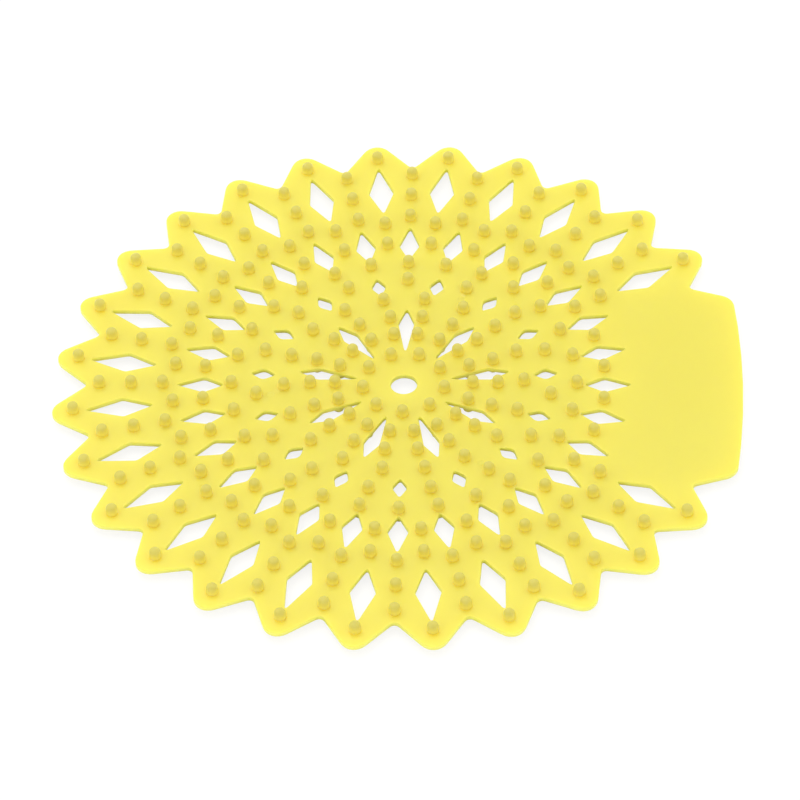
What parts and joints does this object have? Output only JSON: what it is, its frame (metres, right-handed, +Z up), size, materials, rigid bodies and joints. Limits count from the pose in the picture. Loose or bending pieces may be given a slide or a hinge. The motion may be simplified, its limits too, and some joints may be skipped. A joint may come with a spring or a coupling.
{
  "type": "urinal deodorizer screen",
  "caption": "Flat round urinal screen with a sun-shaped rim, rings of rhomb-shaped drain holes, small pegs on both faces and a plain finger tab.",
  "frame": {"origin": "middle of the sheet's length and width, on the surface that its foot pegs rest on", "axes": "+Z up out of the lying sheet, +X towards the finger tab, +Y across it"},
  "size_m": [0.1818, 0.1848, 0.0062],
  "materials": {
    "soft_plastic": "satin, slightly translucent yellow"
  },
  "bodies": {
    "root": {"screen": "soft_plastic"}
  },
  "joints": []
}
